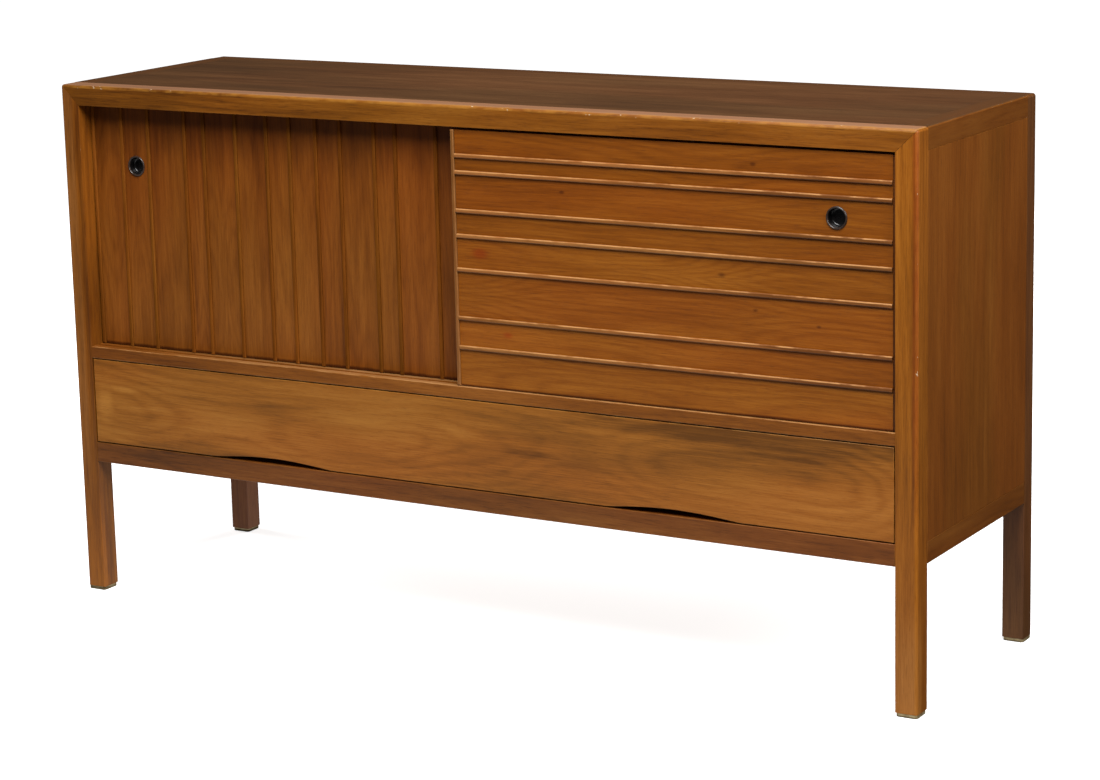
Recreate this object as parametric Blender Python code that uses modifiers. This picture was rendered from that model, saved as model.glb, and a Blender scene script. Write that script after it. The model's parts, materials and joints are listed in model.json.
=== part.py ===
"""Sideboard buffet with two bypassing ribbed doors over one long drawer, on four square legs.

The cabinet stands on the plane z = 0, its width runs along X and its front faces -Y. The origin is
the middle of its footprint. Metres throughout.
"""

import math

import bmesh
import bpy
from mathutils import Vector

# Overall size
WIDTH = 1.400
DEPTH = 0.406
HEIGHT = 0.787

# Frame stock
LEG = 0.032
TOP_RAIL = 0.0305
LOW_RAIL = 0.0305
FOOT_PLATE = 0.005
FOOT_INSET = 0.0004
FLOOR_CLEARANCE = 0.206
DRAWER_OPENING = 0.1325
SILL = 0.018

# Boards
SIDE_PANEL = 0.016
TOP_PANEL = 0.016
BACK_PANEL = 0.005
BACK_RECESS = 0.005
PARTITION = 0.016
SHELF = 0.016
SHELF_HEIGHT = 0.175
SHELF_SETBACK = 0.030
DUST_PANEL = 0.005
SILL_WEB = 0.011

# Doors
DOOR = 0.016
DOOR_INSET = 0.004
DOOR_OVERLAP = 0.0165
DOOR_END_GAP = 0.0015
DOOR_FOOT_GAP = 0.001
DOOR_HEAD_GAP = 0.004
BYPASS_GAP = 0.005
TONGUE = 0.008
TONGUE_UP = 0.004
GROOVE_PLAY = 0.0005
SILL_GROOVE = 0.004
HEAD_GROOVE = 0.009
RIB = 0.006
RIB_PROUD = 0.003
MEETING_BAND = 0.0055
CLOSING_BAND = 0.003
# Bare strips between the ribs, as shares: bottom to top on the front door, left to right on the rear one.
# The one with no share holds the finger cup, and its width is the cup's with a margin on each side.
FRONT_STRIPS = (52.0, 36.2, 63.3, 42.2, 29.6, 0, 17.6, 33.5)
REAR_STRIPS = (47.7, 0, 62.0, 29.5, 52.0, 50.0, 35.0, 40.5, 36.5, 53.0, 30.0, 62.6, 54.7)
FRONT_CUP_MARGIN = 0.00855
REAR_CUP_MARGIN = 0.00625
PULL_SETBACK = 0.083

# Finger pull, a turned cup
PULL_RADIUS = 0.0155
PULL_RIM = 0.0028
PULL_WALL = 0.0012
PULL_PROUD = 0.0020
PULL_DEPTH = 0.0110
PULL_FLOOR = 0.0015
PULL_STEPS = 36
PULL_ARC_STEPS = 3

# Drawer
DRAWER_GAP = 0.0018
DRAWER_INSET = 0.0005
DRAWER_FRONT = 0.020
DRAWER_WALL = 0.012
DRAWER_WALL_HEIGHT = 0.095
DRAWER_BASE = 0.005
DRAWER_BASE_UP = 0.008
DRAWER_REACH = 0.006
DRAWER_SIDE_PLAY = 0.004
RUNNER_WIDTH = 0.024
RUNNER_HEIGHT = 0.020
RUNNER_PROUD = 0.0015
SCOOP_OFFSET = 0.336
SCOOP_HALF = 0.105
SCOOP_HEIGHT = 0.007
SCOOP_FULLNESS = 1.2
SCOOP_STEPS = 16

# Edges and fits
FIT = 0.0003
ROUND = 0.0045
TOP_ROUND = 0.0025
EASE = 0.0010
RIB_EASE = 0.0012
ON_PLANE = 1e-6

# Planes that several pieces share
LEFT, RIGHT = -WIDTH / 2, WIDTH / 2
FRONT, BACK = -DEPTH / 2, DEPTH / 2
OPEN_LEFT, OPEN_RIGHT = LEFT + LEG, RIGHT - LEG
BAY_FRONT, BAY_BACK = FRONT + LEG, BACK - LEG
LOW_RAIL_TOP = FLOOR_CLEARANCE + LOW_RAIL
SILL_BOTTOM = LOW_RAIL_TOP + DRAWER_OPENING
SILL_TOP = SILL_BOTTOM + SILL
HEAD = HEIGHT - TOP_RAIL
CEILING = HEIGHT - TOP_PANEL
BACK_PANEL_FRONT = BACK - BACK_RECESS - BACK_PANEL
DOOR_WIDTH = (OPEN_RIGHT - OPEN_LEFT + DOOR_OVERLAP) / 2 - DOOR_END_GAP
DOOR_BOTTOM = SILL_TOP + DOOR_FOOT_GAP
DOOR_TOP = HEAD - DOOR_HEAD_GAP
FRONT_DOOR_FACE = FRONT + DOOR_INSET
REAR_DOOR_FACE = FRONT_DOOR_FACE + DOOR + BYPASS_GAP + RIB_PROUD
SILL_BACK = REAR_DOOR_FACE + DOOR + SILL_WEB
FRONT_DOOR_LEFT = OPEN_RIGHT - DOOR_END_GAP - DOOR_WIDTH
REAR_DOOR_LEFT = OPEN_LEFT + DOOR_END_GAP


def clear_scene():
    for old in list(bpy.data.objects):
        bpy.data.objects.remove(old, do_unlink=True)


def new_collection(name):
    made = bpy.data.collections.new(name)
    bpy.context.scene.collection.children.link(made)
    return made


def new_material(name, color, roughness, metallic=0.0):
    made = bpy.data.materials.new(name)
    made.use_nodes = True
    surface = made.node_tree.nodes["Principled BSDF"]
    surface.inputs["Base Color"].default_value = (*color, 1.0)
    surface.inputs["Roughness"].default_value = roughness
    surface.inputs["Metallic"].default_value = metallic
    return made


clear_scene()
PIECES = new_collection("sideboard_buffet")
CUTTERS = new_collection("cutters")

FRAME_WALNUT = new_material("frame_walnut", (0.30, 0.13, 0.035), 0.38)
TOP_WALNUT = new_material("top_walnut", (0.13, 0.065, 0.030), 0.34)
SIDE_WALNUT = new_material("side_walnut", (0.18, 0.080, 0.026), 0.42)
DOOR_WALNUT = new_material("door_walnut", (0.25, 0.105, 0.028), 0.40)
RIB_WALNUT = new_material("rib_walnut", (0.36, 0.17, 0.055), 0.38)
DRAWER_WALNUT = new_material("drawer_walnut", (0.30, 0.13, 0.035), 0.38)
INNER_WALNUT = new_material("inner_walnut", (0.20, 0.10, 0.045), 0.55)
DRAWER_OAK = new_material("drawer_oak", (0.42, 0.27, 0.13), 0.60)
BOARD_BROWN = new_material("board_brown", (0.17, 0.095, 0.05), 0.70)
PULL_BLACK = new_material("pull_black", (0.010, 0.010, 0.011), 0.18)
FOOT_BRASS = new_material("foot_brass", (0.36, 0.27, 0.12), 0.42, 1.0)


def new_empty(name, location):
    """The root of a body: on a moving body it lies on the line that the body slides along."""
    made = bpy.data.objects.new(name, None)
    made.location = location
    PIECES.objects.link(made)
    return made


CARCASE = new_empty("carcase_frame", (0, 0, 0))
FRONT_DOOR = new_empty("front_door_slide", (OPEN_RIGHT - DOOR_END_GAP, FRONT_DOOR_FACE + DOOR, SILL_TOP))
REAR_DOOR = new_empty("rear_door_slide", (REAR_DOOR_LEFT, REAR_DOOR_FACE + DOOR, SILL_TOP))
DRAWER = new_empty("drawer_slide", (0, FRONT + DRAWER_INSET, LOW_RAIL_TOP))


def stock(low, high):
    """A sawn board as a bmesh, between two opposite corners."""
    board = bmesh.new()
    bmesh.ops.create_cube(board, size=1.0)
    bmesh.ops.scale(board, vec=[b - a for a, b in zip(low, high)], verts=board.verts)
    bmesh.ops.translate(board, vec=[(a + b) / 2 for a, b in zip(low, high)], verts=board.verts)
    return board


def edges_on(board, **planes):
    """The edges that lie on every plane given, such as x=LEFT, y=FRONT."""
    found = board.edges[:]
    for axis, at in planes.items():
        found = [e for e in found if all(abs(getattr(v.co, axis) - at) < ON_PLANE for v in e.verts)]
    return found


def round_over(board, edges, radius, segments=3):
    bmesh.ops.bevel(
        board,
        geom=edges,
        offset=radius,
        offset_type="OFFSET",
        segments=segments,
        profile=0.5,
        affect="EDGES",
        clamp_overlap=True,
    )


def saw(board, point, normal):
    """Cuts off what lies beyond the plane, on the side that its normal points to, and closes the cut."""
    whole = board.verts[:] + board.edges[:] + board.faces[:]
    cut = bmesh.ops.bisect_plane(board, geom=whole, plane_co=point, plane_no=normal, clear_outer=True)
    rim = [part for part in cut["geom_cut"] if isinstance(part, bmesh.types.BMEdge)]
    bmesh.ops.edgeloop_fill(board, edges=rim)


def add_piece(name, board, finish, body):
    """Turns a bmesh in world positions into an object whose origin is the middle of its box."""
    middle = Vector(
        (min(v.co[i] for v in board.verts) + max(v.co[i] for v in board.verts)) / 2 for i in range(3)
    )
    bmesh.ops.translate(board, vec=-middle, verts=board.verts)
    mesh = bpy.data.meshes.new(name)
    board.to_mesh(mesh)
    board.free()
    return add_object(name, mesh, finish, body, middle)


def add_object(name, data, finish, body, location):
    made = bpy.data.objects.new(name, data)
    data.materials.append(finish)
    made.parent = body
    made.location = Vector(location) - body.location
    PIECES.objects.link(made)
    return made


def add_board(name, low, high, finish, body, ease=EASE):
    """A plain rectangular board with all its edges eased."""
    board = stock(low, high)
    round_over(board, board.edges[:], ease, 1)
    return add_piece(name, board, finish, body)


def add_cutter(name, board):
    mesh = bpy.data.meshes.new(name)
    board.to_mesh(mesh)
    board.free()
    made = bpy.data.objects.new(name, mesh)
    made.hide_render = True
    made.display_type = "WIRE"
    CUTTERS.objects.link(made)
    return made


def cut_away(piece, cutter):
    cut = piece.modifiers.new(cutter.name, "BOOLEAN")
    cut.operation = "DIFFERENCE"
    cut.solver = "EXACT"
    cut.object = cutter


def cut_box(piece, name, low, high):
    cut_away(piece, add_cutter(name, stock(low, high)))


def outer(side):
    """The outer face of the side, -1 for the left and 1 for the right."""
    return side * WIDTH / 2


def inner(side, reach):
    return side * (WIDTH / 2 - reach)


def low_high(a, b):
    return (a, b) if a < b else (b, a)


def side_name(side):
    return "left" if side < 0 else "right"


def mitre_normal(side):
    """Points up and inwards, square to the mitre between a leg and the rail over it."""
    return Vector((-side * TOP_RAIL, 0, LEG)).normalized()


def add_leg(side, front):
    """A square leg that runs to the top, with its outer edges rounded and its head mitred."""
    face = FRONT if front else BACK
    y_low, y_high = (FRONT, BAY_FRONT) if front else (BAY_BACK, BACK)
    x_low, x_high = low_high(outer(side), inner(side, LEG))
    leg = stock((x_low, y_low, FOOT_PLATE + FIT), (x_high, y_high, HEIGHT))
    outside = edges_on(leg, x=outer(side), y=face) + edges_on(leg, x=outer(side), z=HEIGHT)
    round_over(leg, outside + edges_on(leg, y=face, z=HEIGHT), ROUND)
    round_over(leg, edges_on(leg, x=inner(side, LEG), y=face), EASE, 1)
    normal = mitre_normal(side)
    saw(leg, Vector((outer(side), 0, HEIGHT)) - normal * FIT / 2, normal)
    name = ("front" if front else "rear") + "_" + side_name(side) + "_leg"
    add_piece(name, leg, FRAME_WALNUT if front else SIDE_WALNUT, CARCASE)


def add_foot_plate(side, front):
    x_low, x_high = low_high(outer(side), inner(side, LEG))
    y_low, y_high = (FRONT, BAY_FRONT) if front else (BAY_BACK, BACK)
    plate = stock(
        (x_low + FOOT_INSET, y_low + FOOT_INSET, 0),
        (x_high - FOOT_INSET, y_high - FOOT_INSET, FOOT_PLATE),
    )
    upright = [edge for edge in plate.edges if abs(edge.verts[0].co.z - edge.verts[1].co.z) > FIT]
    round_over(plate, upright, ROUND)
    name = ("front" if front else "rear") + "_" + side_name(side) + "_foot_plate"
    add_piece(name, plate, FOOT_BRASS, CARCASE)


def add_long_top_rail(front):
    """The rail over the doors or over the back, mitred to both legs. The doors run in the front one."""
    face = FRONT if front else BACK
    y_low, y_high = (FRONT, BAY_FRONT) if front else (BAY_BACK, BACK)
    rail = stock((LEFT, y_low, HEAD), (RIGHT, y_high, HEIGHT))
    outside = edges_on(rail, y=face, z=HEIGHT)
    for x in (LEFT, RIGHT):
        outside += edges_on(rail, x=x, y=face) + edges_on(rail, x=x, z=HEIGHT)
    round_over(rail, outside, ROUND)
    round_over(rail, edges_on(rail, y=face, z=HEAD), EASE, 1)
    for side in (-1, 1):
        normal = mitre_normal(side)
        saw(rail, Vector((outer(side), 0, HEIGHT)) + normal * FIT / 2, -normal)
    name = "top_front_rail" if front else "top_rear_rail"
    made = add_piece(name, rail, FRAME_WALNUT if front else SIDE_WALNUT, CARCASE)
    if front:
        cut_door_grooves(made, HEAD - FIT, HEAD + HEAD_GROOVE)


def cut_door_grooves(piece, z_low, z_high):
    """A groove for each of the tongues that stand along the backs of the doors, where it meets the piece."""
    for name, door_face in (("front", FRONT_DOOR_FACE), ("rear", REAR_DOOR_FACE)):
        low = (OPEN_LEFT, door_face + DOOR - TONGUE - GROOVE_PLAY, z_low)
        high = (OPEN_RIGHT, door_face + DOOR + GROOVE_PLAY, z_high)
        cut_box(piece, piece.name + "_" + name + "_groove", low, high)


def add_side_top_rail(side):
    x_low, x_high = low_high(outer(side), inner(side, LEG))
    rail = stock((x_low, BAY_FRONT + FIT, HEAD), (x_high, BAY_BACK - FIT, HEIGHT))
    round_over(rail, edges_on(rail, x=outer(side), z=HEIGHT), TOP_ROUND)
    add_piece(side_name(side) + "_top_rail", rail, SIDE_WALNUT, CARCASE)


def add_side_bottom_rail(side):
    x_low, x_high = low_high(outer(side), inner(side, LEG))
    rail = stock((x_low, BAY_FRONT + FIT, FLOOR_CLEARANCE), (x_high, BAY_BACK - FIT, LOW_RAIL_TOP))
    round_over(rail, edges_on(rail, x=outer(side), z=FLOOR_CLEARANCE), EASE, 1)
    add_piece(side_name(side) + "_bottom_rail", rail, SIDE_WALNUT, CARCASE)


def add_side_panel(side):
    x_low, x_high = low_high(outer(side), inner(side, SIDE_PANEL))
    add_piece(
        side_name(side) + "_side_panel",
        stock((x_low, BAY_FRONT + FIT, LOW_RAIL_TOP + FIT), (x_high, BAY_BACK - FIT, HEAD - FIT)),
        SIDE_WALNUT,
        CARCASE,
    )


def add_low_rail(front):
    face = FRONT if front else BACK
    y_low, y_high = (FRONT, BAY_FRONT) if front else (BAY_BACK, BACK)
    rail = stock((OPEN_LEFT + FIT, y_low, FLOOR_CLEARANCE), (OPEN_RIGHT - FIT, y_high, LOW_RAIL_TOP))
    for z in (FLOOR_CLEARANCE, LOW_RAIL_TOP):
        round_over(rail, edges_on(rail, y=face, z=z), EASE, 1)
    name = "bottom_front_rail" if front else "bottom_rear_rail"
    add_piece(name, rail, FRAME_WALNUT if front else SIDE_WALNUT, CARCASE)


def add_top_panel():
    panel = stock((OPEN_LEFT + FIT, BAY_FRONT + FIT, CEILING), (OPEN_RIGHT - FIT, BAY_BACK - FIT, HEIGHT))
    add_piece("top_panel", panel, TOP_WALNUT, CARCASE)


def add_back_panel():
    low = (OPEN_LEFT + FIT, BACK_PANEL_FRONT, LOW_RAIL_TOP + FIT)
    high = (OPEN_RIGHT - FIT, BACK_PANEL_FRONT + BACK_PANEL, HEAD - FIT)
    add_piece("back_panel", stock(low, high), BOARD_BROWN, CARCASE)


def add_door_sill():
    """The ledge under the doors, notched round the front legs. Both doors run in its grooves."""
    reach = SIDE_PANEL + FIT
    sill = stock((LEFT + reach, FRONT, SILL_BOTTOM), (RIGHT - reach, SILL_BACK - FIT, SILL_TOP))
    made = add_piece("door_sill", sill, FRAME_WALNUT, CARCASE)
    for side in (-1, 1):
        x_low, x_high = low_high(outer(side), inner(side, LEG + FIT))
        low = (x_low, FRONT - LEG, SILL_BOTTOM - SILL)
        cut_box(made, "sill_notch_" + side_name(side), low, (x_high, BAY_FRONT + FIT, SILL_TOP + SILL))
    cut_door_grooves(made, SILL_TOP - SILL_GROOVE, SILL_TOP + FIT)


def add_cupboard_floor():
    reach = SIDE_PANEL + FIT
    floor = stock((LEFT + reach, SILL_BACK, SILL_BOTTOM), (RIGHT - reach, BACK_PANEL_FRONT - FIT, SILL_TOP))
    made = add_piece("cupboard_floor", floor, INNER_WALNUT, CARCASE)
    for side in (-1, 1):
        x_low, x_high = low_high(outer(side), inner(side, LEG + FIT))
        low = (x_low, BAY_BACK - FIT, SILL_BOTTOM - SILL)
        cut_box(made, "floor_notch_" + side_name(side), low, (x_high, BACK, SILL_TOP + SILL))


def add_upper_door_guide():
    """The grooved strip behind the top front rail, in which the rear door runs."""
    low = (OPEN_LEFT + FIT, BAY_FRONT + FIT, HEAD)
    strip = stock(low, (OPEN_RIGHT - FIT, SILL_BACK - FIT, CEILING - FIT))
    made = add_piece("upper_door_guide", strip, INNER_WALNUT, CARCASE)
    cut_door_grooves(made, HEAD - FIT, HEAD + HEAD_GROOVE)


def add_partition():
    low = (-PARTITION / 2, SILL_BACK + FIT, SILL_TOP + FIT)
    high = (PARTITION / 2, BACK_PANEL_FRONT - FIT, CEILING - FIT)
    made = add_board("center_partition", low, high, INNER_WALNUT, CARCASE)
    cut_box(made, "partition_notch", (-PARTITION, BAY_BACK - FIT, HEAD - FIT), (PARTITION, BACK, HEIGHT))


def add_shelf(side):
    x_low, x_high = low_high(inner(side, SIDE_PANEL + FIT), side * (PARTITION / 2 + FIT))
    z = SILL_TOP + SHELF_HEIGHT
    low = (x_low, SILL_BACK + SHELF_SETBACK, z)
    add_board(side_name(side) + "_shelf", low, (x_high, BAY_BACK - FIT, z + SHELF), INNER_WALNUT, CARCASE)


def add_dust_panel():
    low = (OPEN_LEFT + FIT, BAY_FRONT + FIT, FLOOR_CLEARANCE)
    high = (OPEN_RIGHT - FIT, BAY_BACK - FIT, FLOOR_CLEARANCE + DUST_PANEL)
    add_piece("dust_panel", stock(low, high), BOARD_BROWN, CARCASE)


def add_runner(side):
    x_low, x_high = low_high(inner(side, LEG + FIT), inner(side, LEG + FIT + RUNNER_WIDTH))
    top = LOW_RAIL_TOP + RUNNER_PROUD
    low = (x_low, BAY_FRONT + FIT, top - RUNNER_HEIGHT)
    add_board(side_name(side) + "_drawer_runner", low, (x_high, BAY_BACK - FIT, top), DRAWER_OAK, CARCASE)


def strip_edges(strips, margin, low, high):
    """Splits the run between low and high into bare strips with a rib between each two of them."""
    cup_strip = 2 * (PULL_RADIUS + margin)
    bare = (high - low - RIB * (len(strips) - 1) - cup_strip) / sum(strips)
    edges = []
    at = low
    for share in strips:
        width = share * bare if share else cup_strip
        edges.append((at, at + width))
        at += width + RIB
    return edges


def front_strips():
    return strip_edges(FRONT_STRIPS, FRONT_CUP_MARGIN, DOOR_BOTTOM, DOOR_TOP)


def pull_height():
    """Both pulls are level, in the middle of the front door's strip without a share."""
    return sum(front_strips()[FRONT_STRIPS.index(0)]) / 2


def add_door_panel(name, x_low, x_high, face, body):
    """A flat panel, rebated along its front at head and foot so that a tongue is left along its back."""
    tongue_low = SILL_TOP - SILL_GROOVE + FIT
    tongue_high = HEAD + TONGUE_UP
    panel = stock((x_low, face, tongue_low), (x_high, face + DOOR, tongue_high))
    made = add_piece(name, panel, DOOR_WALNUT, body)
    shoulder = face + DOOR - TONGUE
    for end, z_low, z_high in (
        ("foot", tongue_low - DOOR, DOOR_BOTTOM),
        ("head", DOOR_TOP, tongue_high + DOOR),
    ):
        low = (x_low - DOOR, face - DOOR, z_low)
        cut_box(made, name + "_" + end + "_rebate", low, (x_high + DOOR, shoulder, z_high))
    return made


def add_band(name, x_low, width, face, proud, body):
    """A solid edge strip on the end of a door, as high as the door's face and as thick as the door."""
    band = stock((x_low, face - proud, DOOR_BOTTOM), (x_low + width, face + DOOR, DOOR_TOP))
    if proud:
        round_over(band, edges_on(band, y=face - proud), RIB_EASE, 2)
    add_piece(name, band, RIB_WALNUT, body)


def add_rib(name, low, high, face, body):
    """A bead that lies on a door's face: low and high are its corners in x and z."""
    bead = stock((low[0], face - RIB_PROUD, low[1]), (high[0], face - FIT, high[1]))
    proud = edges_on(bead, y=face - RIB_PROUD)
    long_edges = [edge for edge in proud if edge.calc_length() > RIB + FIT]
    round_over(bead, long_edges, RIB_EASE, 2)
    add_piece(name, bead, RIB_WALNUT, body)


def arc(center, radii, start, end):
    """Points along part of an ellipse, from one angle to another in degrees."""
    steps = PULL_ARC_STEPS * abs(end - start) // 90
    points = []
    for step in range(steps + 1):
        angle = math.radians(start + (end - start) * step / steps)
        points.append((center[0] + radii[0] * math.cos(angle), center[1] + radii[1] * math.sin(angle)))
    return points


def pull_profile():
    """Half the section of the cup, from the middle of its floor, over its rim and down its outer side."""
    mouth = PULL_RADIUS - PULL_RIM
    barrel = mouth + PULL_WALL
    floor = -PULL_DEPTH
    points = [(0, floor)]
    points += arc((mouth - PULL_RIM, floor + PULL_RIM), (PULL_RIM, PULL_RIM), -90, 0)
    points += arc(((mouth + PULL_RADIUS) / 2, FIT), (PULL_RIM / 2, PULL_PROUD - FIT), 180, 0)
    points += [(barrel, FIT), (barrel, floor - PULL_FLOOR), (0, floor - PULL_FLOOR)]
    return points


def add_pull(name, x, face, z, body):
    """A turned finger cup whose rim lies on the door's face."""
    half = bpy.data.meshes.new(name)
    points = pull_profile()
    half.from_pydata([(r, 0, h) for r, h in points], [(i, i + 1) for i in range(len(points) - 1)], [])
    made = add_object(name, half, PULL_BLACK, body, (x, face, z))
    made.rotation_euler = (math.radians(90), 0, 0)
    turn = made.modifiers.new("turned", "SCREW")
    turn.steps = PULL_STEPS
    turn.render_steps = PULL_STEPS
    turn.use_merge_vertices = True
    turn.merge_threshold = 0.00005
    turn.use_smooth_shade = True


def bore_for_pull(door, name, x, face, z):
    """A blind bore that takes the cup's barrel."""
    radius = PULL_RADIUS - PULL_RIM + PULL_WALL + FIT
    depth = PULL_DEPTH + PULL_FLOOR + FIT
    bore = bmesh.new()
    bmesh.ops.create_cone(
        bore,
        cap_ends=True,
        segments=PULL_STEPS,
        radius1=radius,
        radius2=radius,
        depth=2 * depth,
    )
    cutter = add_cutter(name + "_bore", bore)
    cutter.rotation_euler = (math.radians(90), 0, 0)
    cutter.location = (x, face, z)
    cut_away(door, cutter)


def add_front_door():
    """The right-hand door, on the front track, with level ribs."""
    left = FRONT_DOOR_LEFT
    right = left + DOOR_WIDTH
    panel_left = left + MEETING_BAND + FIT
    panel_right = right - CLOSING_BAND - FIT
    panel = add_door_panel("front_door_panel", panel_left, panel_right, FRONT_DOOR_FACE, FRONT_DOOR)
    add_band("front_door_meeting_band", left, MEETING_BAND, FRONT_DOOR_FACE, RIB_PROUD, FRONT_DOOR)
    add_band("front_door_closing_band", right - CLOSING_BAND, CLOSING_BAND, FRONT_DOOR_FACE, 0, FRONT_DOOR)
    strips = front_strips()
    for number, (strip, above) in enumerate(zip(strips, strips[1:]), 1):
        low = (panel_left, strip[1])
        add_rib(f"front_door_rib_{number}", low, (panel_right, above[0]), FRONT_DOOR_FACE, FRONT_DOOR)
    x = right - PULL_SETBACK
    bore_for_pull(panel, "front_door_pull", x, FRONT_DOOR_FACE, pull_height())
    add_pull("front_door_pull", x, FRONT_DOOR_FACE, pull_height(), FRONT_DOOR)


def add_rear_door():
    """The left-hand door, on the rear track, with upright ribs."""
    left = REAR_DOOR_LEFT
    panel_left = left + MEETING_BAND + FIT
    panel_right = left + DOOR_WIDTH
    panel = add_door_panel("rear_door_panel", panel_left, panel_right, REAR_DOOR_FACE, REAR_DOOR)
    add_band("rear_door_closing_band", left, MEETING_BAND, REAR_DOOR_FACE, RIB_PROUD, REAR_DOOR)
    strips = strip_edges(REAR_STRIPS, REAR_CUP_MARGIN, panel_left, panel_right)
    for number, (strip, after) in enumerate(zip(strips, strips[1:]), 1):
        low = (strip[1], DOOR_BOTTOM)
        add_rib(f"rear_door_rib_{number}", low, (after[0], DOOR_TOP), REAR_DOOR_FACE, REAR_DOOR)
    x = sum(strips[REAR_STRIPS.index(0)]) / 2
    bore_for_pull(panel, "rear_door_pull", x, REAR_DOOR_FACE, pull_height())
    add_pull("rear_door_pull", x, REAR_DOOR_FACE, pull_height(), REAR_DOOR)


def scoop_outline(middle):
    """Points of one finger scoop, left to right, as heights over the drawer front's lower edge."""
    points = []
    for step in range(2 * SCOOP_STEPS + 1):
        share = step / SCOOP_STEPS - 1
        rise = SCOOP_HEIGHT * (1 - share * share) ** SCOOP_FULLNESS
        points.append((middle + share * SCOOP_HALF, rise))
    return points


def add_drawer_front():
    """The drawer's face, a flat outline with two finger scoops along its lower edge."""
    half = (OPEN_RIGHT - OPEN_LEFT) / 2 - DRAWER_GAP
    height = DRAWER_OPENING - 2 * DRAWER_GAP
    outline = [(-half, 0)] + scoop_outline(-SCOOP_OFFSET) + scoop_outline(SCOOP_OFFSET)
    outline += [(half, 0), (half, height), (-half, height)]
    curve = bpy.data.curves.new("drawer_front", "CURVE")
    curve.dimensions = "2D"
    curve.fill_mode = "BOTH"
    curve.extrude = DRAWER_FRONT / 2
    run = curve.splines.new("POLY")
    run.points.add(len(outline) - 1)
    for point, (x, z) in zip(run.points, outline):
        point.co = (x, z, 0, 1)
    run.use_cyclic_u = True
    at = (0, FRONT + DRAWER_INSET + DRAWER_FRONT / 2, LOW_RAIL_TOP + DRAWER_GAP)
    made = add_object("drawer_front", curve, DRAWER_WALNUT, DRAWER, at)
    made.rotation_euler = (math.radians(90), 0, 0)


def add_drawer_box():
    """Two sides, a back and a base behind the drawer's face. Sides and back ride on the runners."""
    y_low = FRONT + DRAWER_INSET + DRAWER_FRONT + FIT
    y_high = BAY_BACK + DRAWER_REACH
    z_low = LOW_RAIL_TOP + RUNNER_PROUD + FIT
    z_high = z_low + DRAWER_WALL_HEIGHT
    x_out = OPEN_RIGHT - DRAWER_SIDE_PLAY
    x_in = x_out - DRAWER_WALL
    for side in (-1, 1):
        x_low, x_high = low_high(side * x_out, side * x_in)
        name = side_name(side) + "_drawer_side"
        add_board(name, (x_low, y_low, z_low), (x_high, y_high, z_high), DRAWER_OAK, DRAWER)
    back_y = y_high - DRAWER_WALL
    reach = x_in - FIT
    add_board("drawer_back", (-reach, back_y, z_low), (reach, y_high, z_high), DRAWER_OAK, DRAWER)
    base_low = z_low + DRAWER_BASE_UP
    low = (-reach, y_low, base_low)
    add_piece("drawer_base", stock(low, (reach, back_y - FIT, base_low + DRAWER_BASE)), DRAWER_OAK, DRAWER)


for front in (True, False):
    for side in (-1, 1):
        add_leg(side, front)
        add_foot_plate(side, front)
    add_long_top_rail(front)
    add_low_rail(front)
for side in (-1, 1):
    add_side_top_rail(side)
    add_side_panel(side)
    add_side_bottom_rail(side)
    add_shelf(side)
    add_runner(side)
add_top_panel()
add_back_panel()
add_door_sill()
add_cupboard_floor()
add_upper_door_guide()
add_partition()
add_dust_panel()
add_front_door()
add_rear_door()
add_drawer_front()
add_drawer_box()
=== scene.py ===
"""Looks of the sideboard buffet in satin walnut, with the stage, lights and camera."""

import json
import math

import bmesh
import bpy
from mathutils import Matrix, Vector


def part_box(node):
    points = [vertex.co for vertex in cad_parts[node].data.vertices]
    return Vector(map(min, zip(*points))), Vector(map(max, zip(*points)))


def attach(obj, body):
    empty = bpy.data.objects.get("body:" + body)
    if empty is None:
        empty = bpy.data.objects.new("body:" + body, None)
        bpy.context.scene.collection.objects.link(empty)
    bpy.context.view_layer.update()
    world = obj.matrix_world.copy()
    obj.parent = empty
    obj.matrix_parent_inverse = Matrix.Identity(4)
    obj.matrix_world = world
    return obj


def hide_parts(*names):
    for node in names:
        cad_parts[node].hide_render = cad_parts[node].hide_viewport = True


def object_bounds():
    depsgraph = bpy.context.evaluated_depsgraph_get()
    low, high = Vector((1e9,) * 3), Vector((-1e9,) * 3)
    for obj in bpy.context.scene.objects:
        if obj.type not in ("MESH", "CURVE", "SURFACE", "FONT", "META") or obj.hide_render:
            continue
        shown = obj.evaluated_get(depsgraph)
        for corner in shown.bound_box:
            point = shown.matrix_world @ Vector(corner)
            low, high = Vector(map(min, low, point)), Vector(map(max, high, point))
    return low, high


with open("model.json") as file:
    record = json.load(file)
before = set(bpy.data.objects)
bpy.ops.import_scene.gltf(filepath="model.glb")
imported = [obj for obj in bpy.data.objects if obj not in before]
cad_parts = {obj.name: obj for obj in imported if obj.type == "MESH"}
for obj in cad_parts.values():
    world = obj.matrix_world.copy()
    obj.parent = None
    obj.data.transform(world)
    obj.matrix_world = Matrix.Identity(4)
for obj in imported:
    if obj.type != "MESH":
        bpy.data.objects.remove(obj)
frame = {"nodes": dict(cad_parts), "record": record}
cad_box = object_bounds()

NODES = frame["nodes"]
RECORD = frame["record"]
BODY = {node: body for body, nodes in RECORD["behaviour"]["bodies"].items() for node in nodes}

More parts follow.
